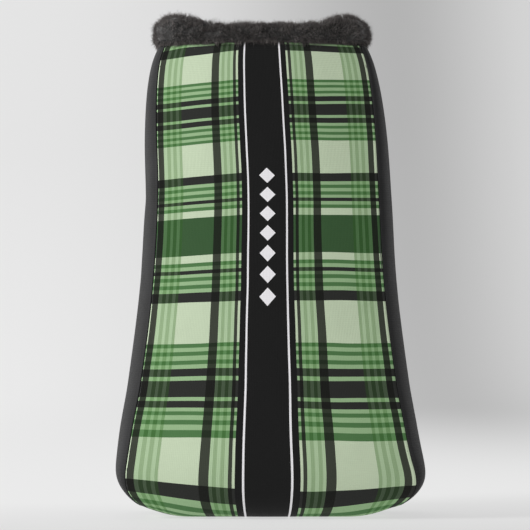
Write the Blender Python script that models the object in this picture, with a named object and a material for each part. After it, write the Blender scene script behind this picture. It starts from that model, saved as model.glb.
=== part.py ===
"""Driver head cover: a printed band and two side panels round a foam and fleece lining, with a fur cuff.

Metres, +Z up. The cover stands on its crown end with its mouth up, and its front faces -Y.
Every sewn layer is a slab in (across, along, depth): depth is how far it lies under the outer skin.
"""

import math

import bmesh
import bpy
from mathutils import Vector

# Overall sizes
MOUTH_HEIGHT = 0.2635
CUFF_TOP = 0.280
# (height, half of the width) and (height, half of the depth) of the outer skin, up the walls
HALF_WIDTHS = [
    (0.0255, 0.0866),
    (0.050, 0.0826),
    (0.075, 0.0779),
    (0.125, 0.0717),
    (0.176, 0.0686),
    (0.210, 0.0680),
    (0.235, 0.0664),
    (0.252, 0.0632),
    (MOUTH_HEIGHT, 0.0585),
]
HALF_DEPTHS = [
    (0.038, 0.0556),
    (0.055, 0.0553),
    (0.100, 0.0518),
    (0.150, 0.0475),
    (0.210, 0.0445),
    (0.235, 0.0430),
    (0.252, 0.0405),
    (MOUTH_HEIGHT, 0.0370),
]

# Crown end, seen from the side: a flat to stand on, and an elliptic corner up to the wall
FLAT_HALF_DEPTH = 0.027
CORNER_HEIGHT = HALF_DEPTHS[0][0]
CORNER_REACH = HALF_DEPTHS[0][1] - FLAT_HALF_DEPTH

# Crown end, seen from the front: the side panels round in with this radius
SIDE_ARC_RADIUS = 0.020
SIDE_ARC_HEIGHT = HALF_WIDTHS[0][0]

# Shape across the band, and (height, inset from the cover's sides) of its seams with the side panels
SEAM_INSETS = [(0.200, 0.0083), (0.235, 0.0078), (MOUTH_HEIGHT, 0.0056)]
BAND_DROP = 0.006
DROP_POWER = 1.5
WALL_FLAT_SHARE = 0.2
CROWN_FLAT_SHARE = 0.7
CROWN_TUCK = 0.009
TUCK_ANGLE = math.radians(60)
SEAM_SHRINK = 0.45
SIDE_SQUARENESS = 3.0
SEAM_HALF_GAP = 0.0006

# The neck leans a little to the left
LEAN = -0.0032
LEAN_START = 0.170

# Layers, as depths under the outer skin
SKIN = (0.0, 0.0015)
FOAM = (0.0018, 0.0048)
LINING = (0.0051, 0.0091)
FOAM_TOP = 0.251

# Elastic in the mouth's hem, where the foam stops short
ELASTIC = (0.0027, 0.0039)
ELASTIC_HEIGHTS = (0.2525, 0.2605)

# Fur cuff: a rolled strip around the mouth, higher at its sides
CUFF_BASE = MOUTH_HEIGHT + 0.0014
CUFF_FRONT_TOP = 0.2755
CUFF_DEPTHS = (-0.0035, 0.0115)
CUFF_SQUARENESS = 2.6
# Shares of the way from the middle of its front to a side where it starts to rise and is at its full height
CUFF_RISE = (0.45, 0.95)

THREAD_RADIUS = 0.0003

# How finely the surfaces are cut
BOTTOM_STATIONS = 1
CORNER_STATIONS = 5
WALL_HEIGHTS = (0.058, 0.081, 0.107, 0.133, 0.160, 0.186, 0.209, 0.227, 0.240, FOAM_TOP, MOUTH_HEIGHT)
BAND_SHARES = (0.25, 0.5, 0.7, 0.88, 1.0)
SIDE_SHARES = (0.3, 0.55, 0.75, 0.88, 0.96, 1.0)
CUFF_SECTION_POINTS = 12
THREAD_ROUNDNESS = 2
SHARP_ANGLE = math.radians(40)
WELD = 1e-6
HALVINGS = 24


def smooth(share):
    """An ease from 0 to 1."""
    share = min(1.0, max(0.0, share))
    return share * share * (3 - 2 * share)


def curve_through(stations, at):
    """A smooth curve through (position, value) stations, held level past both ends."""
    if at <= stations[0][0]:
        return stations[0][1]
    if at >= stations[-1][0]:
        return stations[-1][1]
    i = next(k for k in range(len(stations) - 1) if at <= stations[k + 1][0])

    def slope(k):
        before, after = stations[max(k - 1, 0)], stations[min(k + 1, len(stations) - 1)]
        return (after[1] - before[1]) / (after[0] - before[0])

    (x0, y0), (x1, y1) = stations[i], stations[i + 1]
    step = x1 - x0
    s = (at - x0) / step
    return (
        y0 * (1 + 2 * s) * (1 - s) ** 2
        + y1 * s * s * (3 - 2 * s)
        + step * slope(i) * s * (1 - s) ** 2
        - step * slope(i + 1) * s * s * (1 - s)
    )


def superellipse(angle, squareness):
    """(along, across) on a quarter of a superellipse: (1, 0) at angle 0 and (0, 1) at a right angle."""
    power = 2 / squareness
    return max(0.0, math.cos(angle)) ** power, max(0.0, math.sin(angle)) ** power


def lean(height):
    return LEAN * smooth((height - LEAN_START) / (MOUTH_HEIGHT - LEAN_START))


def half_width(height, depth):
    """Half of the width of the layer at a depth, with the crown end's rounding."""
    if height >= SIDE_ARC_HEIGHT:
        return curve_through(HALF_WIDTHS, height) - depth
    radius = SIDE_ARC_RADIUS - depth
    drop = min(radius, SIDE_ARC_HEIGHT - height)
    return HALF_WIDTHS[0][1] - SIDE_ARC_RADIUS + math.sqrt(radius * radius - drop * drop)


def corner_angle(along):
    """0 on the flat under the crown end, and a right angle from the top of its corner up."""
    return math.radians(90) * min(1.0, max(0.0, abs(along) - 1))


def profile(along):
    """(y, z) on the middle of the band. along is 0 at the crown end's centre, 1 at the flat's edge, 2 at
    the top of the corner and 3 at the mouth; it is negative at the front and positive at the back."""
    far = abs(along)
    if far <= 1:
        y, z = FLAT_HALF_DEPTH * far, 0.0
    elif far <= 2:
        angle = corner_angle(along)
        y = FLAT_HALF_DEPTH + CORNER_REACH * math.sin(angle)
        z = CORNER_HEIGHT * (1 - math.cos(angle))
    else:
        z = CORNER_HEIGHT + (MOUTH_HEIGHT - CORNER_HEIGHT) * (far - 2)
        y = curve_through(HALF_DEPTHS, z)
    return math.copysign(y, along), z


def outward(along):
    """(y, z) of the direction out of the band's middle line."""
    step = 1e-4
    low, high = max(-3.0, along - step), min(3.0, along + step)
    (y0, z0), (y1, z1) = profile(low), profile(high)
    dy, dz = y1 - y0, z1 - z0
    length = math.hypot(dy, dz)
    return dz / length, -dy / length


def band_drop(across, along):
    """How far the band curves in, away from its middle line."""
    on_wall = smooth(corner_angle(along) / TUCK_ANGLE)
    flat = CROWN_FLAT_SHARE + (WALL_FLAT_SHARE - CROWN_FLAT_SHARE) * on_wall
    return BAND_DROP * max(0.0, (abs(across) - flat) / (1 - flat)) ** DROP_POWER


def band_edge(along, depth):
    """(half width, y, z) where the band meets a side panel."""
    y, z = profile(along)
    ny, nz = outward(along)
    inward = BAND_DROP + depth
    y, z = y - ny * inward, z - nz * inward
    tuck = CROWN_TUCK * (1 - smooth(corner_angle(along) / TUCK_ANGLE))
    widest = curve_through(HALF_WIDTHS, max(z, SIDE_ARC_HEIGHT))
    inset = curve_through(SEAM_INSETS, z) + tuck
    return widest - inset - SEAM_SHRINK * depth, y, z


def on_band(across, along, depth):
    """A point of the band. across is -1 at its left edge and 1 at its right edge."""
    half = band_edge(along, depth)[0]
    y, z = profile(along)
    ny, nz = outward(along)
    inward = band_drop(across, along) + depth
    y, z = y - ny * inward, z - nz * inward
    return Vector((lean(z) + across * half, y, z))


def gap_across(along, depth):
    """The seam's half gap as measured across the cover, which is more where the seam runs aslant."""
    step = 0.05
    (half0, y0, z0), (half1, y1, z1) = band_edge(along - step, depth), band_edge(along + step, depth)
    slant = (half1 - half0) / math.hypot(y1 - y0, z1 - z0)
    return SEAM_HALF_GAP * math.hypot(1, slant)


def along_beyond(y, z, depth):
    """The value of along whose seam point lies straight beyond (y, z), seen from a side panel's pole: the
    point on its middle line that is level with the top of the crown end's corner."""
    wanted = math.atan2(abs(y), CORNER_HEIGHT - z)
    low, high = 0.0, 2.0
    for _ in range(HALVINGS):
        middle = (low + high) / 2
        _, seam_y, seam_z = band_edge(middle, depth)
        if math.atan2(seam_y, CORNER_HEIGHT - seam_z) < wanted:
            low = middle
        else:
            high = middle
    return high


def on_side(side, across, along, depth):
    """A point of a side panel: side is -1 for the left one. across is -1 at its front seam, 0 on its middle
    line and 1 at its back seam, and along is 1 at its bottom edge, on the crown end, and 3 at the mouth."""
    half, seam_y, z = band_edge(along, depth)
    bend = math.sin(math.radians(90) * across)
    y = seam_y * bend
    still_to_go = abs(bend)
    if along < 2:
        lowest, highest = band_edge(1, depth)[2], band_edge(2, depth)[2]
        middle_z = lowest + (highest - lowest) * (along - 1)
        z = middle_z + (z - middle_z) * bend**2
        along = along_beyond(y, z, depth)
        half, far_y, far_z = band_edge(along, depth)
        still_to_go = math.hypot(y, CORNER_HEIGHT - z) / math.hypot(far_y, CORNER_HEIGHT - far_z)
    out = max(0.0, 1 - still_to_go**SIDE_SQUARENESS) ** (1 / SIDE_SQUARENESS)
    stand_out = max(gap_across(along, depth), (half_width(z, depth) - half) * out)
    return Vector((lean(z) + side * (half + stand_out), y, z))


def wall_along(height):
    """The value of along at a height on the wall."""
    return 2 + (height - CORNER_HEIGHT) / (MOUTH_HEIGHT - CORNER_HEIGHT)


def stations_up_to(top_height):
    """Values of along from the crown end's centre to a height on the wall."""
    bottom = [k / BOTTOM_STATIONS for k in range(BOTTOM_STATIONS)]
    corner = [1 + k / CORNER_STATIONS for k in range(CORNER_STATIONS + 1)]
    return bottom + corner + [wall_along(height) for height in WALL_HEIGHTS if height <= top_height]


def whole_path(top_height):
    """Values of along from the front of the mouth, under the crown end and up to the back of the mouth."""
    half = stations_up_to(top_height)
    return [-a for a in reversed(half[1:])] + half


def both_ways(shares):
    """Shares from one edge to the other: the negative ones, 0 and the positive ones."""
    return [-share for share in reversed(shares)] + [0.0] + list(shares)


def sheet(columns, rows, place):
    """A surface from a grid whose points are put at place(column, row); edges that meet are welded."""
    bm = bmesh.new()
    across, up = len(columns) - 1, len(rows) - 1
    bmesh.ops.create_grid(bm, x_segments=across, y_segments=up, size=1)
    spot = bm.verts.layers.float_vector.new("spot")
    for v in bm.verts:
        column = columns[round((v.co.x + 1) / 2 * across)]
        row = rows[round((v.co.y + 1) / 2 * up)]
        v[spot] = (column, row, 0)
        v.co = place(column, row)
    bmesh.ops.remove_doubles(bm, verts=bm.verts, dist=WELD)
    return bm, spot


def material(name, colour, roughness):
    made = bpy.data.materials.new(name)
    made.use_nodes = True
    shader = made.node_tree.nodes["Principled BSDF"]
    shader.inputs["Base Color"].default_value = (*colour, 1)
    shader.inputs["Roughness"].default_value = roughness
    shader.inputs["Metallic"].default_value = 0.0
    made.diffuse_color = (*colour, 1)
    return made


def finish(bm, name, finish_material):
    """Puts a closed mesh in the scene as one named piece."""
    bmesh.ops.recalc_face_normals(bm, faces=bm.faces)
    mesh = bpy.data.meshes.new(name)
    bm.to_mesh(mesh)
    bm.free()
    mesh.shade_smooth()
    mesh.set_sharp_from_angle(angle=SHARP_ANGLE)
    mesh.materials.append(finish_material)
    piece = bpy.data.objects.new(name, mesh)
    PARTS.objects.link(piece)
    return piece


def slab(name, columns, rows, place, depths, finish_material):
    """A sewn layer: a sheet at its outer depth, extruded to its inner one; place takes a depth as well."""
    outer, inner = depths
    bm, spot = sheet(columns, rows, lambda column, row: place(column, row, outer))
    grown = bmesh.ops.extrude_face_region(bm, geom=bm.faces[:])["geom"]
    for v in grown:
        if isinstance(v, bmesh.types.BMVert):
            column, row, _ = v[spot]
            v.co = place(column, row, inner)
    return finish(bm, name, finish_material)


def band_layer(name, depths, top_height, finish_material):
    """The middle strip of one layer: up the front, over the crown end and up the back."""

    def place(across, along, depth):
        half = band_edge(along, depth)[0]
        return on_band(across * (1 - gap_across(along, depth) / half), along, depth)

    return slab(name, both_ways(BAND_SHARES), whole_path(top_height), place, depths, finish_material)


def side_layer(name, side, depths, top_height, finish_material):
    """The left or right piece of one layer."""

    def place(across, along, depth):
        return on_side(side, across, along, depth)

    rows = [along for along in stations_up_to(top_height) if along >= 1]
    return slab(name, both_ways(SIDE_SHARES), rows, place, depths, finish_material)


def mouth_outline():
    """Stations round the cover in a closed loop, as (piece, across, side or facing)."""
    band = both_ways(BAND_SHARES)
    panel = both_ways(SIDE_SHARES)[1:-1]
    front = [("band", across, -1) for across in band]
    right = [("side", across, 1) for across in panel]
    back = [("band", -across, 1) for across in band]
    left = [("side", -across, -1) for across in panel]
    return front + right + back + left + front[:1]


def on_outline(station, along, depth):
    piece, across, side = station
    if piece == "band":
        return on_band(across, side * along, depth)
    return on_side(side, across, along, depth)


def elastic_band(finish_material):
    """A flat elastic loop in the mouth's hem, between the skin and the lining."""
    stations = mouth_outline()
    rows = [wall_along(height) for height in ELASTIC_HEIGHTS]
    columns = list(range(len(stations)))

    def place(column, along, depth):
        return on_outline(stations[round(column)], along, depth)

    return slab("mouth_elastic", columns, rows, place, ELASTIC, finish_material)


def fur_cuff(finish_material):
    """The rolled fur strip: a closed loop, a superellipse in section and taller at the cover's two sides."""
    stations = mouth_outline()
    columns = list(range(len(stations)))
    rows = list(range(CUFF_SECTION_POINTS + 1))
    half_thickness = (CUFF_DEPTHS[1] - CUFF_DEPTHS[0]) / 2

    def place(column, row):
        angle = 2 * math.pi * row / CUFF_SECTION_POINTS
        quarter = abs(math.asin(math.sin(angle)))
        in_or_out, up_or_down = superellipse(quarter, CUFF_SQUARENESS)
        in_or_out = math.copysign(in_or_out, math.cos(angle))
        up_or_down = math.copysign(up_or_down, math.sin(angle))
        depth = sum(CUFF_DEPTHS) / 2 + half_thickness * in_or_out
        point = on_outline(stations[column], 3, depth)
        rim = on_outline(stations[column], 3, 0)
        sideways = abs(rim.x - lean(MOUTH_HEIGHT)) / HALF_WIDTHS[-1][1]
        rise = smooth((sideways - CUFF_RISE[0]) / (CUFF_RISE[1] - CUFF_RISE[0]))
        top = CUFF_FRONT_TOP + (CUFF_TOP - CUFF_FRONT_TOP) * rise
        point.z = (CUFF_BASE + top) / 2 + (top - CUFF_BASE) / 2 * up_or_down
        return point

    bm, _ = sheet(columns, rows, place)
    return finish(bm, "fur_cuff", finish_material)


def thread(name, points, finish_material, closed=False):
    """A sewing thread: a thin round tube through its points."""
    curve = bpy.data.curves.new(name, "CURVE")
    curve.dimensions = "3D"
    curve.bevel_depth = THREAD_RADIUS
    curve.bevel_resolution = THREAD_ROUNDNESS
    curve.use_fill_caps = True
    spline = curve.splines.new("POLY")
    spline.points.add(len(points) - 1)
    for spline_point, point in zip(spline.points, points):
        spline_point.co = (*point, 1)
    spline.use_cyclic_u = closed
    curve.materials.append(finish_material)
    piece = bpy.data.objects.new(name, curve)
    PARTS.objects.link(piece)
    return piece


def seam_thread(name, side, depths, finish_material):
    """The thread that joins the band to one side panel, all round the seam and halfway into the layer."""
    points = []
    for along in whole_path(MOUTH_HEIGHT):
        outer, inner = (Vector(band_edge(along, depth)) for depth in depths)
        half, y, z = (outer + inner) / 2
        points.append((lean(z) + side * half, y, z))
    return thread(name, points, finish_material)


def cuff_thread(finish_material):
    """The thread that joins the cuff to the mouth's edge."""
    height = (MOUTH_HEIGHT + CUFF_BASE) / 2
    depth = sum(SKIN) / 2
    points = [on_outline(station, 3, depth) for station in mouth_outline()[:-1]]
    points = [(p.x, p.y, height) for p in points]
    return thread("cuff_thread", points, finish_material, closed=True)


for old in list(bpy.data.objects):
    bpy.data.objects.remove(old)
PARTS = bpy.data.collections.new("driver_head_cover")
bpy.context.scene.collection.children.link(PARTS)

print_cloth = material("printed_cloth", (0.30, 0.42, 0.27), 0.85)
black_cloth = material("black_cloth", (0.035, 0.035, 0.035), 0.8)
foam = material("foam", (0.55, 0.55, 0.53), 0.95)
fleece = material("fleece", (0.045, 0.043, 0.045), 1.0)
elastic = material("elastic", (0.6, 0.6, 0.58), 0.8)
sewing_thread = material("sewing_thread", (0.02, 0.02, 0.02), 0.7)

band_layer("printed_band", SKIN, MOUTH_HEIGHT, print_cloth)
band_layer("band_foam", FOAM, FOAM_TOP, foam)
band_layer("band_lining", LINING, MOUTH_HEIGHT, fleece)
for side_name, side_sign in (("left", -1), ("right", 1)):
    side_layer(f"{side_name}_side_panel", side_sign, SKIN, MOUTH_HEIGHT, black_cloth)
    side_layer(f"{side_name}_side_foam", side_sign, FOAM, FOAM_TOP, foam)
    side_layer(f"{side_name}_side_lining", side_sign, LINING, MOUTH_HEIGHT, fleece)
    seam_thread(f"{side_name}_seam_thread", side_sign, SKIN, sewing_thread)
    seam_thread(f"{side_name}_lining_thread", side_sign, LINING, sewing_thread)
elastic_band(elastic)
cuff_thread(sewing_thread)
fur_cuff(fleece)
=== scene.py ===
"""Looks of the driver head cover: a plaid band, black side panels, a fleece lining and a fur cuff.

Metres, +Z up, in the frame of the CAD model, whose form the first functions repeat.
"""

import functools
import math

import bmesh
import bpy
import numpy as np
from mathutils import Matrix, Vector, noise


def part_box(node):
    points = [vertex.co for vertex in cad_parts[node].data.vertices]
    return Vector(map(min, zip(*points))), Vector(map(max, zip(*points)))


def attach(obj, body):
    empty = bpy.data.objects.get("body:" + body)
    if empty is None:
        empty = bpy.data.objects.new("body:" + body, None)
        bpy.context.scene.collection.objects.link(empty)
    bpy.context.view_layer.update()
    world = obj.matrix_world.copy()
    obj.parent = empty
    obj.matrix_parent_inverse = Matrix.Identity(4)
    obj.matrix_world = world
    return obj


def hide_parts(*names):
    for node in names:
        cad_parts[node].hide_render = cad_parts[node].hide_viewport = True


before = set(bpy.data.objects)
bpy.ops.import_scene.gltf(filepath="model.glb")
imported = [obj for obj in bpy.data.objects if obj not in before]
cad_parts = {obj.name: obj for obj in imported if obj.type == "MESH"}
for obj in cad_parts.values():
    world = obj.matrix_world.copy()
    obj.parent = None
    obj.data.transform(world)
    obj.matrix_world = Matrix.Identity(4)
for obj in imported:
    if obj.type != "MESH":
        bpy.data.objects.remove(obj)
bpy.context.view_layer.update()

# -------- the cover's form, as in the CAD model

MOUTH_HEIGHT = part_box("printed_band")[1].z
CUFF_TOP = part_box("fur_cuff")[1].z
CUFF_FRONT_TOP = 0.2755
CUFF_DEPTHS = (-0.0035, 0.0115)
CUFF_SQUARENESS = 2.6
# (height, half of the width) and (height, half of the depth) of the outer skin, up the walls
HALF_WIDTHS = [
    (0.0255, 0.0866),
    (0.050, 0.0826),
    (0.075, 0.0779),
    (0.125, 0.0717),
    (0.176, 0.0686),
    (0.210, 0.0680),
    (0.235, 0.0664),
    (0.252, 0.0632),
    (MOUTH_HEIGHT, 0.0585),
]
HALF_DEPTHS = [
    (0.038, 0.0556),
    (0.055, 0.0553),
    (0.100, 0.0518),
    (0.150, 0.0475),
    (0.210, 0.0445),
    (0.235, 0.0430),
    (0.252, 0.0405),
    (MOUTH_HEIGHT, 0.0370),
]
FLAT_HALF_DEPTH = 0.027
CORNER_HEIGHT = HALF_DEPTHS[0][0]
CORNER_REACH = HALF_DEPTHS[0][1] - FLAT_HALF_DEPTH
SIDE_ARC_RADIUS = 0.020
SIDE_ARC_HEIGHT = HALF_WIDTHS[0][0]
# The seams lie 0.9 mm further out than in the CAD, where the band's padding swells over them
SEAM_INSETS = [(0.200, 0.0074), (0.235, 0.0069), (MOUTH_HEIGHT, 0.0050)]
BAND_DROP = 0.006
DROP_POWER = 1.5
WALL_FLAT_SHARE = 0.2
CROWN_FLAT_SHARE = 0.7
CROWN_TUCK = 0.009
TUCK_ANGLE = math.radians(60)
SEAM_SHRINK = 0.45
SIDE_SQUARENESS = 3.0
LEAN = -0.0032
LEAN_START = 0.170
LINING_FACE = 0.0091

# How finely curves are searched and measured, and the least length that a vector is divided by
HALVINGS = 24
FINE_STATIONS = 1200
SIDE_STATIONS = 300
TINY = 1e-9


def smooth(share):
    """An ease from 0 to 1."""
    share = min(1.0, max(0.0, share))
    return share * share * (3 - 2 * share)


def curve_through(stations, at):
    """A smooth curve through (position, value) stations, held level past both ends."""
    if at <= stations[0][0]:
        return stations[0][1]
    if at >= stations[-1][0]:
        return stations[-1][1]
    i = next(k for k in range(len(stations) - 1) if at <= stations[k + 1][0])

    def slope(k):
        before, after = stations[max(k - 1, 0)], stations[min(k + 1, len(stations) - 1)]
        return (after[1] - before[1]) / (after[0] - before[0])

    (x0, y0), (x1, y1) = stations[i], stations[i + 1]
    step = x1 - x0
    s = (at - x0) / step
    return (
        y0 * (1 + 2 * s) * (1 - s) ** 2
        + y1 * s * s * (3 - 2 * s)
        + step * slope(i) * s * (1 - s) ** 2
        - step * slope(i + 1) * s * s * (1 - s)
    )


def lean(height):
    return LEAN * smooth((height - LEAN_START) / (MOUTH_HEIGHT - LEAN_START))


def half_width(height, depth):
    if height >= SIDE_ARC_HEIGHT:
        return curve_through(HALF_WIDTHS, height) - depth
    radius = SIDE_ARC_RADIUS - depth
    drop = min(radius, SIDE_ARC_HEIGHT - height)
    return HALF_WIDTHS[0][1] - SIDE_ARC_RADIUS + math.sqrt(radius * radius - drop * drop)


def corner_angle(along):
    return math.radians(90) * min(1.0, max(0.0, abs(along) - 1))


@functools.lru_cache(maxsize=None)
def profile(along):
    """(y, z) on the middle of the band. along is 0 at the crown end's centre, 1 at the flat's edge, 2 at
    the top of the corner and 3 at the mouth; it is negative at the front and positive at the back."""
    far = abs(along)
    if far <= 1:
        y, z = FLAT_HALF_DEPTH * far, 0.0
    elif far <= 2:
        angle = corner_angle(along)
        y = FLAT_HALF_DEPTH + CORNER_REACH * math.sin(angle)
        z = CORNER_HEIGHT * (1 - math.cos(angle))
    else:
        z = CORNER_HEIGHT + (MOUTH_HEIGHT - CORNER_HEIGHT) * (far - 2)
        y = curve_through(HALF_DEPTHS, z)
    return math.copysign(y, along), z


@functools.lru_cache(maxsize=None)
def outward(along):
    """(y, z) of the direction out of the band's middle line."""
    step = 1e-4
    low, high = max(-3.0, along - step), min(3.0, along + step)
    (y0, z0), (y1, z1) = profile(low), profile(high)
    dy, dz = y1 - y0, z1 - z0
    length = math.hypot(dy, dz)
    return dz / length, -dy / length


def band_drop(across, along):
    """How far the band curves in, away from its middle line."""
    on_wall = smooth(corner_angle(along) / TUCK_ANGLE)
    flat = CROWN_FLAT_SHARE + (WALL_FLAT_SHARE - CROWN_FLAT_SHARE) * on_wall
    return BAND_DROP * max(0.0, (abs(across) - flat) / (1 - flat)) ** DROP_POWER


@functools.lru_cache(maxsize=None)
def band_edge(along, depth):
    """(half width, y, z) where the band meets a side panel."""
    y, z = profile(along)
    ny, nz = outward(along)
    inward = BAND_DROP + depth
    y, z = y - ny * inward, z - nz * inward
    tuck = CROWN_TUCK * (1 - smooth(corner_angle(along) / TUCK_ANGLE))
    widest = curve_through(HALF_WIDTHS, max(z, SIDE_ARC_HEIGHT))
    inset = curve_through(SEAM_INSETS, z) + tuck
    return widest - inset - SEAM_SHRINK * depth, y, z


def on_band(across, along, depth):
    """A point of the band. across is -1 at its left edge and 1 at its right edge."""
    half = band_edge(along, depth)[0]
    y, z = profile(along)
    ny, nz = outward(along)
    inward = band_drop(across, along) + depth
    y, z = y - ny * inward, z - nz * inward
    return Vector((lean(z) + across * half, y, z))


def along_beyond(y, z, depth):
    """The value of along whose seam point lies straight beyond (y, z), seen from a side panel's pole."""
    wanted = math.atan2(abs(y), CORNER_HEIGHT - z)
    low, high = 0.0, 2.0
    for _ in range(HALVINGS):
        middle = (low + high) / 2
        _, seam_y, seam_z = band_edge(middle, depth)
        if math.atan2(seam_y, CORNER_HEIGHT - seam_z) < wanted:
            low = middle
        else:
            high = middle
    return high


def on_side(side, across, along, depth):
    """A point of a side panel: side is -1 for the left one. across is -1 at its front seam, 0 on its middle
    line and 1 at its back seam, and along is 1 at its bottom edge, on the crown end, and 3 at the mouth."""
    half, seam_y, z = band_edge(along, depth)
    bend = math.sin(math.radians(90) * across)
    y = seam_y * bend
    still_to_go = abs(bend)
    if along < 2:
        lowest, highest = band_edge(1, depth)[2], band_edge(2, depth)[2]
        middle_z = lowest + (highest - lowest) * (along - 1)
        z = middle_z + (z - middle_z) * bend**2
        along = along_beyond(y, z, depth)
        half, far_y, far_z = band_edge(along, depth)
        still_to_go = math.hypot(y, CORNER_HEIGHT - z) / math.hypot(far_y, CORNER_HEIGHT - far_z)
    out = max(0.0, 1 - still_to_go**SIDE_SQUARENESS) ** (1 / SIDE_SQUARENESS)
    return Vector((lean(z) + side * (half + (half_width(z, depth) - half) * out), y, z))


def travelled(points):
    """The way travelled from the first point to each point."""
    return np.concatenate([[0], np.cumsum(np.linalg.norm(np.diff(points, axis=0), axis=1))])


def evenly(count, place):
    """Values of along, from the crown end to the mouth, at evenly spaced places, and their line's length."""
    fine = np.linspace(0, 3, FINE_STATIONS + 1)
    run = travelled(np.array([place(a) for a in fine]))
    return [float(a) for a in np.interp(np.linspace(0, run[-1], count + 1), run, fine)], float(run[-1])


# -------- making meshes


def sheet(columns, rows, place):
    """A surface from a grid whose points are put at place(column, row). Each vertex keeps the numbers of its
    column and row."""
    bm = bmesh.new()
    across, up = len(columns) - 1, len(rows) - 1
    bmesh.ops.create_grid(bm, x_segments=across, y_segments=up, size=1)
    spot = bm.verts.layers.float_vector.new("spot")
    for v in bm.verts:
        column = round((v.co.x + 1) / 2 * across)
        row = round((v.co.y + 1) / 2 * up)
        v[spot] = (column, row, 0)
        v.co = place(columns[column], rows[row])
    return bm, spot


def put_in_scene(made):
    bpy.context.scene.collection.objects.link(made)
    return made


def as_piece(mesh, finish):
    """Puts a mesh in the scene as one piece of the mesh's name that rides on the cover."""
    mesh.shade_smooth()
    mesh.materials.append(finish)
    piece = put_in_scene(bpy.data.objects.new(mesh.name, mesh))
    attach(piece, "root")
    return piece


def show(bm, name, finish):
    mesh = bpy.data.meshes.new(name)
    bm.to_mesh(mesh)
    bm.free()
    return as_piece(mesh, finish)


def face_out(bm, centre):
    """Turns a sheet's faces away from a point inside it."""
    bm.normal_update()
    total = sum((f.calc_center_median() - centre).dot(f.normal) * f.calc_area() for f in bm.faces)
    if total < 0:
        bmesh.ops.reverse_faces(bm, faces=bm.faces)


# -------- materials


def encoded(*levels):
    """A display colour from levels of 0 to 255, with alpha 1 unless it is given."""
    colour = [level / 255 for level in levels[:3]]
    return (*colour, levels[3] if len(levels) > 3 else 1.0)


def linear(*levels):
    """The light that a display colour, from levels of 0 to 255, stands for."""

    def light(level):
        return level / 12.92 if level <= 0.04045 else ((level + 0.055) / 1.055) ** 2.4

    return (*(light(level / 255) for level in levels), 1.0)


def add(tree, kind, inputs=None, **settings):
    """A shader node, with its settings, and its inputs as values or as other nodes' outputs."""
    made = tree.nodes.new("ShaderNode" + kind)
    for key, value in settings.items():
        setattr(made, key, value)
    for key, value in (inputs or {}).items():
        if isinstance(value, bpy.types.NodeSocket):
            tree.links.new(value, made.inputs[key])
        else:
            made.inputs[key].default_value = value
    return made


def calc(tree, operation, *values):
    return add(tree, "Math", dict(enumerate(values)), operation=operation).outputs[0]


def mix(tree, share, low, high, blend="MIX"):
    """A colour between two colours; share, low and high are values or sockets."""
    made = add(tree, "Mix", data_type="RGBA", blend_type=blend)
    for key, value in ((0, share), (6, low), (7, high)):
        if isinstance(value, bpy.types.NodeSocket):
            tree.links.new(value, made.inputs[key])
        else:
            made.inputs[key].default_value = value
    return made.outputs[2]


def ramp(tree, at, stops, interpolation="LINEAR"):
    """A colour ramp's node, from (position, colour) stops."""
    made = add(tree, "ValToRGB", {"Fac": at})
    band = made.color_ramp
    band.interpolation = interpolation
    while len(band.elements) < len(stops):
        band.elements.new(0.5)
    for element, (position, _) in zip(band.elements, stops):
        element.position = position
    for element, (_, colour) in zip(band.elements, stops):
        element.color = colour
    return made


def start_material(name, roughness, specular=0.5, **constants):
    """(material, its node tree, its shader), with the shader's constants set."""
    made = bpy.data.materials.new(name)
    made.use_nodes = True
    tree = made.node_tree
    shader = tree.nodes["Principled BSDF"]
    shader.inputs["Roughness"].default_value = roughness
    shader.inputs["Specular IOR Level"].default_value = specular
    for key, value in constants.items():
        shader.inputs[key.replace("_", " ").title()].default_value = value
    return made, tree, shader


def feed(shader, key, value):
    """Links a node's output to one of the shader's inputs."""
    shader.id_data.links.new(value, shader.inputs[key])


# Stitches of the knit: how many there are to one rib's width, and how far they slant, in radians
STITCHES_PER_RIB = 0.8
STITCH_SLANT = 1.4


def weave_height(tree, cloth, pitch, ribs=0.5):
    """The height of a fine knit: ribs along the cloth, with stitches across them."""
    turns = 2 * math.pi / pitch
    parts = add(tree, "SeparateXYZ", {0: cloth}).outputs
    across = calc(tree, "SINE", calc(tree, "MULTIPLY", parts[0], turns))
    slant = calc(tree, "MULTIPLY", calc(tree, "ABSOLUTE", across), STITCH_SLANT)
    stitch = calc(tree, "MULTIPLY", parts[1], turns * STITCHES_PER_RIB)
    along = calc(tree, "SINE", calc(tree, "ADD", stitch, slant))
    return calc(tree, "ADD", calc(tree, "MULTIPLY", across, ribs), calc(tree, "MULTIPLY", along, 1 - ribs))


def clouds(tree, where, scale, detail=2.0):
    """A level that wanders from place to place."""
    return add(tree, "TexNoise", {"Vector": where, "Scale": scale, "Detail": detail}).outputs["Fac"]


def as_grey(tree, level):
    """A colour whose three channels are all the level."""
    return add(tree, "CombineXYZ", {0: level, 1: level, 2: level}).outputs[0]


def bump(tree, height, strength, distance, under=None):
    inputs = {"Height": height, "Strength": strength, "Distance": distance}
    if under is not None:
        inputs["Normal"] = under
    return add(tree, "Bump", inputs).outputs[0]


# Colours of the print, as display colours
PALE = encoded(203, 219, 188)
PALE_GREEN = encoded(155, 188, 142)
DEEP_GREEN = encoded(84, 124, 78)
BLOCK_GREEN = encoded(63, 93, 60)
CHARCOAL = encoded(50, 51, 49)
BLACK = encoded(33, 33, 33)
WHITE = encoded(250, 248, 251)
CLEAR = encoded(0, 0, 0, 0.0)
LIGHT_VEIL = encoded(127, 174, 114, 0.32)
GREEN_VEIL = encoded(53, 101, 38, 0.336)
CHARCOAL_VEIL = encoded(28, 29, 26, 0.78)

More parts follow.
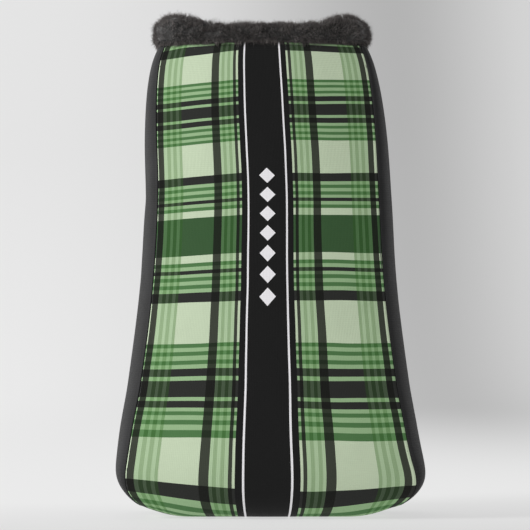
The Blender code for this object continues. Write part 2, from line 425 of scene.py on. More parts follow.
# Stripes across the band, out from its middle line: each starts at a share of its half width
STRIPES_ACROSS = [
    (0.0, BLACK),
    (0.162, WHITE),
    (0.178, BLACK),
    (0.2285, CLEAR),
    (0.248, CHARCOAL_VEIL),
    (0.275, LIGHT_VEIL),
    (0.301, GREEN_VEIL),
    (0.329, LIGHT_VEIL),
    (0.3555, GREEN_VEIL),
    (0.383, LIGHT_VEIL),
    (0.408, CHARCOAL_VEIL),
    (0.4775, CLEAR),
    (0.7595, GREEN_VEIL),
    (0.784, LIGHT_VEIL),
    (0.811, GREEN_VEIL),
    (0.840, LIGHT_VEIL),
    (0.867, GREEN_VEIL),
    (0.898, LIGHT_VEIL),
    (0.9265, CHARCOAL_VEIL),
    (0.980, CLEAR),
]

# Stripes along the band, from the middle of a charcoal group (0) to the middle of a green block (1)
STRIPES_ALONG = [
    (0.0, CHARCOAL),
    (0.043, PALE_GREEN),
    (0.067, CHARCOAL),
    (0.111, PALE_GREEN),
    (0.136, DEEP_GREEN),
    (0.160, PALE_GREEN),
    (0.184, DEEP_GREEN),
    (0.209, PALE_GREEN),
    (0.232, DEEP_GREEN),
    (0.254, PALE),
    (0.514, CHARCOAL),
    (0.582, PALE_GREEN),
    (0.608, DEEP_GREEN),
    (0.634, PALE_GREEN),
    (0.662, DEEP_GREEN),
    (0.688, PALE_GREEN),
    (0.7145, CHARCOAL),
    (0.741, PALE_GREEN),
    (0.768, DEEP_GREEN),
    (0.7965, PALE),
    (0.849, BLOCK_GREEN),
]

# How far the print has come, in repeats of half its pattern, at values of along
PRINT_ROWS = [
    (0.0, 2.89),
    (1.0, 2.65),
    (1.372, 2.582),
    (1.618, 2.514),
    (2.034, 2.254),
    (2.152, 2.0),
    (2.263, 1.746),
    (2.366, 1.486),
    (2.482, 1.151),
    (2.576, 0.849),
    (2.678, 0.514),
    (2.759, 0.254),
    (2.833, 0.0),
    (2.906, -0.254),
    (2.978, -0.514),
    (3.0, -0.60),
]
PRINT_REPEATS = 8
PRINT_START = 1
PRINT_ASIDE = 0.009
SLANT = 0.088
SLANT_HEIGHTS = (0.06, 0.21)
SLANT_START = 0.013

# By the crown end the front's rows hang lower at the right, and droop in the middle
ROW_TILT = 0.0031
TILT_HEIGHTS = (0.005, 0.090)
ROW_DROOP = 0.0078
DROOP_HEIGHT = 0.017

# The white lozenges on the middle stripe: how many, and where, in the print's own measures
LOZENGES = 7
LOZENGE_ROWS = (0.462, 1.535)
LOZENGE_HALF_WIDTH = 0.088
LOZENGE_FILL = 0.80

# How unevenly the print lies, across and along, and the widths of one rib of each knit
PRINT_WOBBLE = (0.008, 0.0028, 0)
PRINTED_PITCH = 0.00085
BLACK_PITCH = 0.0010


def shifted_print(tree, cloth):
    """(row, distance from the middle line) of the print, a little uneven as printed cloth is."""
    at = add(tree, "UVMap", uv_map="print").outputs[0]
    wobble = add(tree, "TexNoise", {"Vector": cloth, "Scale": 22.0, "Detail": 1.0}).outputs["Color"]
    offset = add(tree, "VectorMath", {0: wobble, 1: (0.5, 0.5, 0.5)}, operation="SUBTRACT").outputs[0]
    offset = add(tree, "VectorMath", {0: offset, 1: PRINT_WOBBLE}, operation="MULTIPLY").outputs[0]
    at = add(tree, "VectorMath", {0: at, 1: offset}, operation="ADD").outputs[0]
    parts = add(tree, "SeparateXYZ", {0: at}).outputs
    across = calc(tree, "ABSOLUTE", calc(tree, "MULTIPLY_ADD", parts[0], 2.0, -1.0))
    row = calc(tree, "MULTIPLY_ADD", parts[1], float(PRINT_REPEATS), -float(PRINT_START))
    return row, across


def plaid(tree, row, across):
    """The plaid's colour: rows of stripes, with see-through stripes over them."""
    ground = ramp(tree, calc(tree, "PINGPONG", row, 1.0), STRIPES_ALONG, "CONSTANT")
    veil = ramp(tree, across, STRIPES_ACROSS, "CONSTANT")
    return mix(tree, veil.outputs["Alpha"], ground.outputs["Color"], veil.outputs["Color"])


def with_lozenges(tree, colour, row, across):
    """A colour with the lozenges over it."""
    first, last = LOZENGE_ROWS
    share = calc(tree, "DIVIDE", calc(tree, "SUBTRACT", row, first), (last - first) / LOZENGES)
    started, going = calc(tree, "GREATER_THAN", share, 0.0), calc(tree, "LESS_THAN", share, LOZENGES)
    inside = calc(tree, "MULTIPLY", started, going)
    up = calc(tree, "ABSOLUTE", calc(tree, "SUBTRACT", calc(tree, "FRACT", share), 0.5))
    aside = calc(tree, "DIVIDE", across, LOZENGE_HALF_WIDTH)
    reach = calc(tree, "ADD", calc(tree, "DIVIDE", up, 0.5), aside)
    lozenge = calc(tree, "MULTIPLY", calc(tree, "LESS_THAN", reach, LOZENGE_FILL), inside)
    return mix(tree, lozenge, colour, WHITE)


def printed_cloth():
    """Knitted cloth with a plaid print, from the panel's print coordinates."""
    made, tree, shader = start_material(
        "printed_cloth", 0.8, specular=0.12, sheen_weight=0.03, sheen_roughness=0.5
    )
    cloth = add(tree, "UVMap", uv_map="cloth").outputs[0]
    row, across = shifted_print(tree, cloth)
    colour = with_lozenges(tree, plaid(tree, row, across), row, across)
    lit = add(tree, "Gamma", {"Color": colour, "Gamma": 2.2}).outputs[0]
    knit = weave_height(tree, cloth, PRINTED_PITCH)
    cloudy = clouds(tree, cloth, 60.0, detail=4.0)
    tone = calc(tree, "MULTIPLY_ADD", knit, 0.035, 0.93)
    tone = calc(tree, "MULTIPLY_ADD", cloudy, 0.09, tone)
    feed(shader, "Base Color", mix(tree, 1.0, lit, as_grey(tree, tone), "MULTIPLY"))
    feed(shader, "Roughness", calc(tree, "MULTIPLY_ADD", cloudy, 0.16, 0.70))
    soft = clouds(tree, cloth, 90.0, detail=3.0)
    under = bump(tree, soft, 0.35, 0.0006)
    feed(shader, "Normal", bump(tree, knit, 0.35, 0.00012, under))
    return made


def black_cloth():
    """Plain black knit, a little dusty where it is rubbed."""
    made, tree, shader = start_material(
        "black_cloth", 0.8, specular=0.14, sheen_weight=0.04, sheen_roughness=0.5
    )
    cloth = add(tree, "UVMap", uv_map="cloth").outputs[0]
    cloudy = clouds(tree, cloth, 45.0, detail=5.0)
    knit = weave_height(tree, cloth, BLACK_PITCH, ribs=0.4)
    share = calc(tree, "MULTIPLY_ADD", knit, 0.16, cloudy)
    colour = ramp(tree, share, [(0.25, linear(41, 41, 41)), (0.75, linear(52, 52, 53))]).outputs["Color"]
    feed(shader, "Base Color", colour)
    feed(shader, "Roughness", calc(tree, "MULTIPLY_ADD", cloudy, 0.2, 0.62))
    soft = clouds(tree, cloth, 70.0, detail=3.0)
    under = bump(tree, soft, 0.4, 0.0008)
    feed(shader, "Normal", bump(tree, knit, 0.4, 0.00015, under))
    return made


def pile_cloth(name, dark, light, scale):
    """The backing under a pile: dark and lumpy."""
    made, tree, shader = start_material(name, 0.95, sheen_weight=0.4, sheen_roughness=0.6)
    where = add(tree, "TexCoord").outputs["Object"]
    cells = add(tree, "TexVoronoi", {"Vector": where, "Scale": scale}, feature="SMOOTH_F1")
    lumps = cells.outputs["Distance"]
    fine = clouds(tree, where, scale * 4, detail=6.0)
    share = calc(tree, "MULTIPLY_ADD", lumps, -0.5, fine)
    colour = ramp(tree, share, [(0.2, dark), (0.8, light)]).outputs["Color"]
    feed(shader, "Base Color", colour)
    under = bump(tree, lumps, 0.6, 0.002)
    feed(shader, "Normal", bump(tree, fine, 0.8, 0.001, under))
    return made


def fibres(name, root, tip):
    """Pile fibres, from their root's colour to their tip's, each a little lighter or darker."""
    made, tree, shader = start_material(name, 0.7, sheen_weight=0.2, sheen_roughness=0.5)
    parts = add(tree, "SeparateXYZ", {0: add(tree, "UVMap", uv_map="strand").outputs[0]}).outputs
    colour = ramp(tree, parts[1], [(0.0, root), (1.0, tip)]).outputs["Color"]
    tone = calc(tree, "MULTIPLY_ADD", parts[0], 0.9, 0.55)
    feed(shader, "Base Color", mix(tree, 1.0, colour, as_grey(tree, tone), "MULTIPLY"))
    return made


def twisted_thread():
    made, tree, shader = start_material("sewing_thread", 0.55, sheen_weight=0.1)
    where = add(tree, "TexCoord").outputs["Object"]
    twist = {"Vector": where, "Scale": 420.0, "Distortion": 1.5}
    ply = add(tree, "TexWave", twist, bands_direction="DIAGONAL")
    fuzz = clouds(tree, where, 900.0)
    colour = ramp(tree, fuzz, [(0.3, linear(24, 24, 25)), (0.7, linear(40, 40, 41))]).outputs["Color"]
    feed(shader, "Base Color", colour)
    feed(shader, "Normal", bump(tree, ply.outputs["Fac"], 0.6, 0.0002))
    return made


def open_foam():
    made, tree, shader = start_material("foam", 0.95)
    where = add(tree, "TexCoord").outputs["Object"]
    cells = add(tree, "TexVoronoi", {"Vector": where, "Scale": 700.0}).outputs["Distance"]
    colour = ramp(tree, cells, [(0.0, linear(120, 120, 116)), (0.6, linear(178, 178, 172))]).outputs["Color"]
    feed(shader, "Base Color", colour)
    feed(shader, "Normal", bump(tree, cells, 0.8, 0.0006))
    return made


def ribbed_elastic():
    made, tree, shader = start_material("elastic", 0.8)
    where = add(tree, "TexCoord").outputs["Object"]
    spacing = {"Vector": where, "Scale": 160.0, "Distortion": 0.4}
    ribs = add(tree, "TexWave", spacing, bands_direction="Z").outputs["Fac"]
    colour = ramp(tree, ribs, [(0.0, linear(150, 150, 146)), (1.0, linear(196, 196, 190))]).outputs["Color"]
    feed(shader, "Base Color", colour)
    feed(shader, "Normal", bump(tree, ribs, 0.7, 0.0004))
    return made


# -------- padded panels

CELL = 0.0048
SIDE_CELLS = 26
# Roughly, half of the band's length, its width, and the half widths of the cloth of the band and of a side
HALF_BAND_LENGTH = 0.29
BAND_WIDTH = 0.15
BAND_CLOTH = 0.066
SIDE_CLOTH = 0.055

# By its seam a panel rolls in, and its edge is turned in as a flange, or at the mouth as a hem
SEAM_DIP = 0.0006
SEAM_ROLL = 0.0030
SEAM_SUPPORT = 0.0006
SIDE_SEAM_SUPPORT = 0.2 / SIDE_CELLS
SEAM_CLEARANCE = 0.00005
FLANGE_DEPTH = 0.0040
HEM_DEPTH = 0.0025

# The cloth simulation, and how far under the CAD face each panel starts
PUFF_PRESSURE = 3.0
PUFF_CAP = 0.0016
PUFF_FRAMES = 20
PUFF_START = 0.0007
SIDE_PUFF_START = 0.0011

# Puckers by the seams, and broad waves all over: (how many to a metre, share of the pucker's height)
PUCKER = 0.0005
PUCKER_REACH = 0.012
PUCKERS = (75, 1.0)
WAVES = (28, 0.5)
WAVES_SHIFT = Vector((5, 3, 1))
SUBDIVISIONS = 2
WELD = 1e-5

# The padding's sag, low on the cover's right
SAG = 0.0030
SAG_FROM = 0.035
SAG_HEIGHT = 0.016
SAG_REACH = 0.016


def sagged(point):
    """A point of the skin moved as the padding sags: outwards, low on the cover's right."""
    share = smooth((point.x - SAG_FROM) / (HALF_WIDTHS[0][1] - SAG_FROM))
    return point + Vector((SAG * share * math.exp(-(((point.z - SAG_HEIGHT) / SAG_REACH) ** 2)), 0, 0))


def seam_dip(away):
    """How far a panel's face lies under the CAD face, at a distance from its seam."""
    return SEAM_DIP * math.exp(-away / SEAM_ROLL)


def panel_columns(cells, support):
    """A panel's columns from seam to seam, as (across, depth of its flange). The one at support holds the
    cloth's shape close to a seam."""
    shares = [-1 + 2 * k / cells for k in range(cells + 1)]
    shares = [-1, -support] + shares[1:-1] + [support, 1]
    return [(-1, FLANGE_DEPTH)] + [(share, 0.0) for share in shares] + [(1, FLANGE_DEPTH)]


def panel(name, columns, rows, place, print_at, cloth_at, finish):
    """A padded panel as a coarse sheet, with its print and cloth coordinates. Its two outermost columns and
    rows are its rim, which the cloth simulation pins."""
    bm, spot = sheet(columns, rows, place)
    prints = bm.loops.layers.uv.new("print")
    cloths = bm.loops.layers.uv.new("cloth")
    for face in bm.faces:
        for corner in face.loops:
            column, row = (round(n) for n in corner.vert[spot][:2])
            corner[prints].uv = print_at(columns[column], rows[row], corner.vert.co)
            corner[cloths].uv = cloth_at(columns[column], rows[row])
    face_out(bm, Vector((0, 0, MOUTH_HEIGHT / 2)))
    bmesh.ops.remove_doubles(bm, verts=bm.verts, dist=WELD)
    bm.verts.index_update()
    inner_columns, inner_rows = range(2, len(columns) - 2), range(2, len(rows) - 2)
    spots = [(v.index, round(v[spot].x), round(v[spot].y)) for v in bm.verts]
    rim = [index for index, column, row in spots if column not in inner_columns or row not in inner_rows]
    piece = show(bm, name, finish)
    group = piece.vertex_groups.new(name="rim")
    group.add(rim, 1.0, "REPLACE")
    return piece


def print_row(along):
    """The print's row at a value of along: one strip from the front of the mouth to its back."""
    far = curve_through(PRINT_ROWS, abs(along))
    return far if along < 0 else 2 * PRINT_ROWS[0][1] - far


def climb(far):
    """How fast the band's middle line rises with along, and at least a little where it is flat."""
    if far >= 2:
        return MOUTH_HEIGHT - CORNER_HEIGHT
    return max(CORNER_HEIGHT / 2, CORNER_HEIGHT * math.sin(corner_angle(far)) * math.radians(90))


def row_shift(across, point):
    """How far under its usual place the print's row lies at a point of the front."""
    low, high = SLANT_HEIGHTS
    slant = SLANT * smooth((point.z - low) / (high - low)) * max(0.0, -point.x - SLANT_START)
    low, high = TILT_HEIGHTS
    tilt = ROW_TILT * across * (1 - smooth((point.z - low) / (high - low)))
    droop = -ROW_DROOP * across * across * math.exp(-point.z / DROOP_HEIGHT)
    return slant + tilt + droop


def band_panel(finish):
    """The printed band: a sheet from the front of the mouth, under the crown end and up the back."""
    half_rows, run = evenly(round(HALF_BAND_LENGTH / CELL), profile)
    alongs = [-a for a in reversed(half_rows[1:])] + half_rows
    rows = [(alongs[0], HEM_DEPTH)] + [(a, 0.0) for a in alongs] + [(alongs[-1], HEM_DEPTH)]
    columns = panel_columns(round(BAND_WIDTH / CELL), 1 - SEAM_SUPPORT / BAND_CLOTH)

    def place(column, row):
        (across, flange), (along, hem) = column, row
        half = band_edge(along, 0.0)[0]
        away = (1 - abs(across)) * half
        start = PUFF_START * (1 - math.exp(-away / SEAM_ROLL))
        depth = max(seam_dip(away) + start, flange, hem)
        return sagged(on_band(across * (1 - SEAM_CLEARANCE / half), along, depth))

    def print_at(column, row, point):
        (across, _), (along, _) = column, row
        if along < 0:
            along = -min(3.0, -along + row_shift(across, point) / climb(-along) * smooth(-along))
        return (across + PRINT_ASIDE + 1) / 2, (print_row(along) + PRINT_START) / PRINT_REPEATS

    def cloth_at(column, row):
        (across, _), (along, _) = column, row
        way = np.interp(abs(along), half_rows, np.linspace(0, run, len(half_rows)))
        return across * BAND_CLOTH, math.copysign(way, along)

    return panel("printed_band_skin", columns, rows, place, print_at, cloth_at, finish)


def side_panel(side, name, finish):
    """A black side panel, from its bottom edge on the crown end up to the mouth."""
    alongs = [1 + 2 * k / SIDE_STATIONS for k in range(SIDE_STATIONS + 1)]
    run = travelled(np.array([on_side(side, 0.0, a, 0.0) for a in alongs]))
    count = round(run[-1] / CELL)
    levels = [float(a) for a in np.interp(np.linspace(0, run[-1], count + 1), run, alongs)]
    rows = [(1.0, FLANGE_DEPTH)] + [(a, 0.0) for a in levels] + [(levels[-1], HEM_DEPTH)]
    columns = panel_columns(SIDE_CELLS, 1 - SIDE_SEAM_SUPPORT)

    def place(column, row):
        (across, flange), (along, hem) = column, row
        face = on_side(side, across, along, 0.0)
        half, seam_y, _ = band_edge(along, 0.0)
        aside = abs(abs(face.x - lean(face.z)) - half)
        away = seam_y * (1 - abs(math.sin(math.radians(90) * across))) + aside
        start = SIDE_PUFF_START * (1 - math.exp(-away / SEAM_ROLL))
        point = on_side(side, across, along, max(seam_dip(away) + start, flange, hem))
        if abs(across) == 1 or row is rows[0] or row is rows[1]:
            point.x += side * SEAM_CLEARANCE
        return sagged(point)

    def print_at(column, row, point):
        return (column[0] + 1) / 2, (row[0] - 1) / 2

    def cloth_at(column, row):
        return math.sin(math.radians(90) * column[0]) * SIDE_CLOTH, float(np.interp(row[0], alongs, run))

    return panel(name, columns, rows, place, print_at, cloth_at, finish)


def coordinates(vertices):
    points = np.empty(len(vertices) * 3)
    vertices.foreach_get("co", points)
    return points.reshape(-1, 3)


def puff_up(pieces):
    """Cloth simulation: each panel is held along its seams, and the padding pushes it out."""
    scene = bpy.context.scene
    for piece in pieces:
        cloth = piece.modifiers.new("puff", "CLOTH")
        cloth.settings.quality = 8
        cloth.settings.tension_stiffness = 40
        cloth.settings.compression_stiffness = 40
        cloth.settings.shear_stiffness = 20
        cloth.settings.bending_stiffness = 5
        cloth.settings.use_pressure = True
        cloth.settings.uniform_pressure_force = PUFF_PRESSURE
        cloth.settings.vertex_group_mass = "rim"
        cloth.settings.effector_weights.gravity = 0
        cloth.collision_settings.use_collision = False
        cloth.point_cache.frame_start = 1
        cloth.point_cache.frame_end = PUFF_FRAMES
    for step in range(1, PUFF_FRAMES + 1):
        scene.frame_set(step)
    graph = bpy.context.evaluated_depsgraph_get()
    swollen = [coordinates(piece.evaluated_get(graph).data.vertices) for piece in pieces]
    for piece, points in zip(pieces, swollen):
        piece.modifiers.remove(piece.modifiers["puff"])
        rest = coordinates(piece.data.vertices)
        moved = points - rest
        length = np.maximum(np.linalg.norm(moved, axis=1, keepdims=True), TINY)
        moved *= PUFF_CAP * np.tanh(length / PUFF_CAP) / length
        piece.data.vertices.foreach_set("co", (rest + moved).ravel())
    scene.frame_set(1)


def refine(piece):
    """Applies subdivision, then puckers the cloth near its seams, and keeps it out of the floor."""
    piece.modifiers.new("smooth", "SUBSURF").levels = SUBDIVISIONS
    graph = bpy.context.evaluated_depsgraph_get()
    mesh = bpy.data.meshes.new_from_object(
        piece.evaluated_get(graph), preserve_all_data_layers=True, depsgraph=graph
    )
    piece.modifiers.clear()
    piece.data = mesh
    mesh.shade_smooth()
    spots = mesh.attributes["spot"].data
    columns = max(s.vector[0] for s in spots)
    for vertex, normal, spot in zip(mesh.vertices, mesh.vertex_normals, spots):
        point = vertex.co
        away = max(0.0, min(spot.vector[0], columns - spot.vector[0]) - 2) * CELL
        near = math.exp(-away / PUCKER_REACH)
        pucker = PUCKERS[1] * noise.noise(point * PUCKERS[0]) * near
        pucker += WAVES[1] * noise.noise(point * WAVES[0] + WAVES_SHIFT)
        pucker *= 1 - math.exp(-away / SEAM_ROLL)
        vertex.co = point + Vector(normal.vector) * pucker * PUCKER
        vertex.co.z = max(vertex.co.z, 0.0)


# -------- fur and fleece

SEED = 11
FUR_INSET = 0.0032
# Shares of the way from the middle of its front to a side where the cuff starts to rise and is at full height
CUFF_RISE = (0.45, 0.95)
# The cuff is narrower than the mouth, and more so towards its top. It starts just under the mouth.
CUFF_NARROWING = 0.022
CUFF_TAPER = 0.085
CUFF_ASIDE = -0.0008
CUFF_SEAT = MOUTH_HEIGHT - 0.0006
MOUTH_CELLS = 60
MOUTH_SMOOTHING = 6
CUFF_STATIONS = 320
CUFF_RINGS = 28
CUFF_WELD = 1e-6
# The way round the mouth and the roll's mean radius, by which a lock's spread becomes shares and angles
CUFF_ROUND = 0.305
CUFF_SECTION_RADIUS = 0.0075
# Lumps of the fur: (how many to a metre, height)
LUMPS = ((130, 0.0011), (310, 0.0006))
LOCK_RADIUS = 0.0011
FIBRE_LEAN = 1.0
STRIP_HEIGHT = 0.0030
FIBRE_ROOT = 0.0005
FIBRE_ARCH = 0.14
FIBRE_DISORDER = 0.15
# Kinds of fibre: (locks, fibres in each, their length, their width, how far a lock spreads at its tip)
UNDERCOAT = (5400, 9, 0.0029, 0.00020, 0.5)
WISPS = (6500, 5, 0.0039, 0.00011, 1.3)
# How locks by the cuff's lower edge lie: how much less outwards, how much less aside, and how much down
LOW_LOCKS = (0.4, 0.6, 1.6)
# Swirls that neighbouring locks follow: (how many to a metre, strength, where the pattern starts)
SWIRLS = ((120, 1.0, 0), (340, 0.7, 4))
# A ribbon's width at its middle, to its width at its root
RIBBON_TAPER = 0.8

FLEECE_ROWS = 110
FLEECE_COLUMNS = 60
FLEECE_LUMP_HEIGHT = 0.002
FLEECE_LUMPS = ((210, 0.5), (420, 0.25))
CURLS = 22000
CURL_LENGTH = 0.0034
CURL_WIDTH = 0.0007
CURL_ROOT = 0.001
CURL_BEND = 0.3
CURL_DISORDER = 0.4
CURL_LIFT = 0.3
CURL_SWIRLS = 170
BEND_SWIRLS = 300
# Curls point at an axis that lies at this share of the mouth's lean, and more off the front and back walls
NECK_AXIS_SHARE = 0.7
WALL_PULL = 2.2
# How far under the mouth the curls start, how far they reach from there, and how they thin out with depth
CURLS_START = 0.002
CURLS_REACH = 0.17
CURLS_THINNING = 1.6


def mouth_loop(depth, count):
    """Points and outward directions evenly spaced round the mouth, at a depth under the skin."""
    corner = [-1 + 2 * k / MOUTH_CELLS for k in range(MOUTH_CELLS + 1)]
    loop = [on_band(a, -3.0, depth) for a in corner]
    loop += [on_side(1, a, 3.0, depth) for a in corner[1:-1]]
    loop += [on_band(-a, 3.0, depth) for a in corner]
    loop += [on_side(-1, -a, 3.0, depth) for a in corner[1:-1]]
    points = np.array([p[:2] for p in loop] + [loop[0][:2]])
    run = travelled(points)
    even = np.linspace(0, run[-1], count, endpoint=False)
    points = np.stack([np.interp(even, run, points[:, k]) for k in range(2)], axis=1)
    for _ in range(MOUTH_SMOOTHING):
        points = (np.roll(points, 1, axis=0) + 2 * points + np.roll(points, -1, axis=0)) / 4
    ahead = np.roll(points, -1, axis=0) - np.roll(points, 1, axis=0)
    ahead /= np.linalg.norm(ahead, axis=1, keepdims=True)
    return points, np.stack([ahead[:, 1], -ahead[:, 0]], axis=1)


def cuff_surface(inset):
    """A function of (share round the mouth, angle) that gives arrays of points and outward directions on the
    cuff's roll, an inset under its outer face. Angle 0 faces away from the mouth, and a right angle up."""
    centre, out = mouth_loop(sum(CUFF_DEPTHS) / 2, CUFF_STATIONS)
    half_thickness = (CUFF_DEPTHS[1] - CUFF_DEPTHS[0]) / 2 - inset
    widest = np.abs(centre[:, 0] - lean(MOUTH_HEIGHT)).max()

    def at(share, angle):
        place = np.asarray(share) * CUFF_STATIONS
        low = np.floor(place).astype(int) % CUFF_STATIONS
        high, part = (low + 1) % CUFF_STATIONS, (place - np.floor(place))[:, None]
        middle = centre[low] * (1 - part) + centre[high] * part
        aside = out[low] * (1 - part) + out[high] * part
        sideways = np.abs(middle[:, 0] - lean(MOUTH_HEIGHT)) / widest
        rise = np.clip((sideways - CUFF_RISE[0]) / (CUFF_RISE[1] - CUFF_RISE[0]), 0, 1)
        top = CUFF_FRONT_TOP + (CUFF_TOP - CUFF_FRONT_TOP) * rise * rise * (3 - 2 * rise) - inset
        middle_height, half_height = (top + CUFF_SEAT) / 2, (top - CUFF_SEAT) / 2
        power = 2 / CUFF_SQUARENESS
        cosine, sine = np.cos(angle), np.sin(angle)
        thick = half_thickness * np.sign(cosine) * np.abs(cosine) ** power
        high_by = half_height * np.sign(sine) * np.abs(sine) ** power
        points = np.column_stack([middle + aside * thick[:, None], middle_height + high_by])
        narrower = 1 - CUFF_NARROWING - CUFF_TAPER * np.clip(high_by / half_height, 0, 1) ** 2
        points[:, 0] = lean(MOUTH_HEIGHT) + (points[:, 0] - lean(MOUTH_HEIGHT)) * narrower + CUFF_ASIDE
        facing = np.column_stack([aside * cosine[:, None], sine])
        return points, facing / np.linalg.norm(facing, axis=1, keepdims=True)

    return at


def lump(point):
    """How far the fur swells out, or sinks if it is negative, at a point of the cuff."""
    return sum(size * noise.noise(point * scale) for scale, size in LUMPS)


def cuff_roll(finish):
    """The cuff's backing: a lumpy roll under the fibres."""
    at = cuff_surface(FUR_INSET)
    columns, rows = list(range(CUFF_STATIONS + 1)), list(range(CUFF_RINGS + 1))

    def place(column, row):
        points, facing = at([column / CUFF_STATIONS], np.array([2 * math.pi * row / CUFF_RINGS]))
        point, direction = Vector(points[0]), Vector(facing[0])
        return point + direction * lump(point)

    bm, _ = sheet(columns, rows, place)
    bmesh.ops.remove_doubles(bm, verts=bm.verts, dist=CUFF_WELD)
    bmesh.ops.recalc_face_normals(bm, faces=bm.faces)
    return show(bm, "fur_cuff_backing", finish)


def strands(name, roots, middles, tips, widths, tones, finish, chance):
    """Many fibres as one mesh: each is a ribbon, a quad from its root to its middle and then a triangle.
    Its coordinates are its tone and how far along it a point lies."""
    count = len(roots)
    side = unit(np.cross(tips - roots, chance.normal(size=(count, 3)))) * (widths / 2)[:, None]
    narrower = side * RIBBON_TAPER
    rings = [roots - side, roots + side, middles - narrower, middles + narrower, tips]
    points = np.stack(rings, axis=1).reshape(-1, 3)
    each = len(rings)
    base = (np.arange(count) * each)[:, None]
    quads, triangles = base + [[0, 1, 3, 2]], base + [[2, 3, 4]]
    corners = np.concatenate([quads.ravel(), triangles.ravel()])
    mesh = bpy.data.meshes.new(name)
    mesh.vertices.add(len(points))
    mesh.vertices.foreach_set("co", points.ravel())
    mesh.loops.add(len(corners))
    mesh.loops.foreach_set("vertex_index", corners)
    mesh.polygons.add(2 * count)
    starts = np.concatenate([np.arange(count) * 4, count * 4 + np.arange(count) * 3])
    mesh.polygons.foreach_set("loop_start", starts)
    layer = mesh.uv_layers.new(name="strand")
    height = np.tile([0.0, 0.0, 0.5, 0.5, 1.0], count)
    layer.data.foreach_set("uv", np.column_stack([np.repeat(tones, each), height])[corners].ravel())
    mesh.update(calc_edges=True)
    mesh.validate()
    return as_piece(mesh, finish)


def unit(vectors):
    return vectors / np.maximum(np.linalg.norm(vectors, axis=1, keepdims=True), TINY)


def between(low, high, size, chance):
    return low + (high - low) * chance.random(size)


def flow(points, scale, shift):
    """A direction that changes slowly from place to place, so that neighbouring fibres lie together."""
    return np.array([noise.noise_vector(Vector(p) * scale + Vector((shift, 0, 0))) for p in points])


def cuff_fibres(name, kind, finish, chance):
    """Locks of fine fibres all over the cuff's roll. Along its lower edge they hang down over the seam."""
    locks, fibres_per_lock, length, width, lock_spread = kind
    at = cuff_surface(FUR_INSET + FIBRE_ROOT)
    share, angle = chance.random(locks), chance.random(locks) * 2 * math.pi
    heart, facing = at(share, angle)
    low = np.clip((CUFF_SEAT + STRIP_HEIGHT - heart[:, 2]) / STRIP_HEIGHT, 0, 1)[:, None]
    less_out, less_aside, down = LOW_LOCKS
    swirl = sum(strength * flow(heart, scale, shift) for scale, strength, shift in SWIRLS)
    way = facing * (1 - less_out * low) + FIBRE_LEAN * (1 - less_aside * low) * swirl
    way = unit(way + low * [[0, 0, -down]] + FIBRE_DISORDER * chance.normal(size=(locks, 3)))
    reach = length * between(0.75, 1.25, (locks, 1), chance)
    swell = facing * np.array([lump(Vector(point)) for point in heart])[:, None]
    lock_tone = 0.6 * chance.random(locks)

    count = locks * fibres_per_lock
    owner = np.repeat(np.arange(locks), fibres_per_lock)
    spread = chance.normal(size=(2, count)) * LOCK_RADIUS
    place = (share[owner] + spread[0] / CUFF_ROUND) % 1.0, angle[owner] + spread[1] / CUFF_SECTION_RADIUS
    roots = at(*place)[0]
    lengths = reach[owner] * between(0.7, 1.2, (count, 1), chance)
    tips = heart[owner] + (roots - heart[owner]) * lock_spread + way[owner] * lengths
    middles = roots + (tips - roots) * 0.5 + facing[owner] * lengths * FIBRE_ARCH
    rise = swell[owner]
    widths = width * between(0.7, 1.3, count, chance)
    tones = lock_tone[owner] + 0.4 * chance.random(count)
    return strands(name, roots + rise, middles + rise, tips + rise, widths, tones, finish, chance)


def lining(name, columns, rows, place, finish):
    """A fleece lining's face: a fine sheet with a curly pile's lumps."""

    def lumpy(column, row):
        point = place(column, row, LINING_FACE)
        outer = place(column, row, LINING_FACE - FLEECE_LUMP_HEIGHT)
        share = 0.5 + sum(size * noise.noise(point * scale) for scale, size in FLEECE_LUMPS)
        return point + (outer - point) * min(1.0, max(0.0, share))

    bm, _ = sheet(columns, rows, lumpy)
    face_out(bm, Vector((0, 0, MOUTH_HEIGHT / 2)))
    bmesh.ops.reverse_faces(bm, faces=bm.faces)
    return show(bm, name, finish)


def on_wall(part, height, depth):
    """A point of the walls at a height. part is 0 to 1 across the front, then up to 2 across the right side,
    up to 3 across the back and up to 4 across the left side."""
    along = 2 + (height - CORNER_HEIGHT) / (MOUTH_HEIGHT - CORNER_HEIGHT)
    across = -1 + 2 * (part % 1)
    if part < 1:
        return on_band(across, -along, depth)
    if part < 2:
        return on_side(1, across, along, depth)
    if part < 3:
        return on_band(-across, along, depth)
    return on_side(-1, -across, along, depth)


def lining_fibres(name, count, finish, chance):
    """Short curls of fleece on the inside of the mouth and the neck."""
    heights = MOUTH_HEIGHT - CURLS_START - CURLS_REACH * chance.random(count) ** CURLS_THINNING
    parts = chance.random(count) * 4
    depth = LINING_FACE - CURL_ROOT
    roots = np.array([on_wall(part, height, depth) for part, height in zip(parts, heights)])
    axis = lean(MOUTH_HEIGHT) * NECK_AXIS_SHARE
    inward = unit(np.column_stack([axis - roots[:, 0], -roots[:, 1] * WALL_PULL, np.zeros(count)]))
    way = inward + flow(roots, CURL_SWIRLS, 3) + CURL_DISORDER * chance.normal(size=(count, 3))
    way = unit(way + [[0, 0, CURL_LIFT]])
    tips = roots + way * CURL_LENGTH * between(0.7, 1.3, (count, 1), chance)
    middles = (roots + tips) / 2 + CURL_BEND * CURL_LENGTH * flow(roots, BEND_SWIRLS, 5)
    widths, tones = np.full(count, CURL_WIDTH), chance.random(count)
    return strands(name, roots, middles, tips, widths, tones, finish, chance)


# -------- building the cover


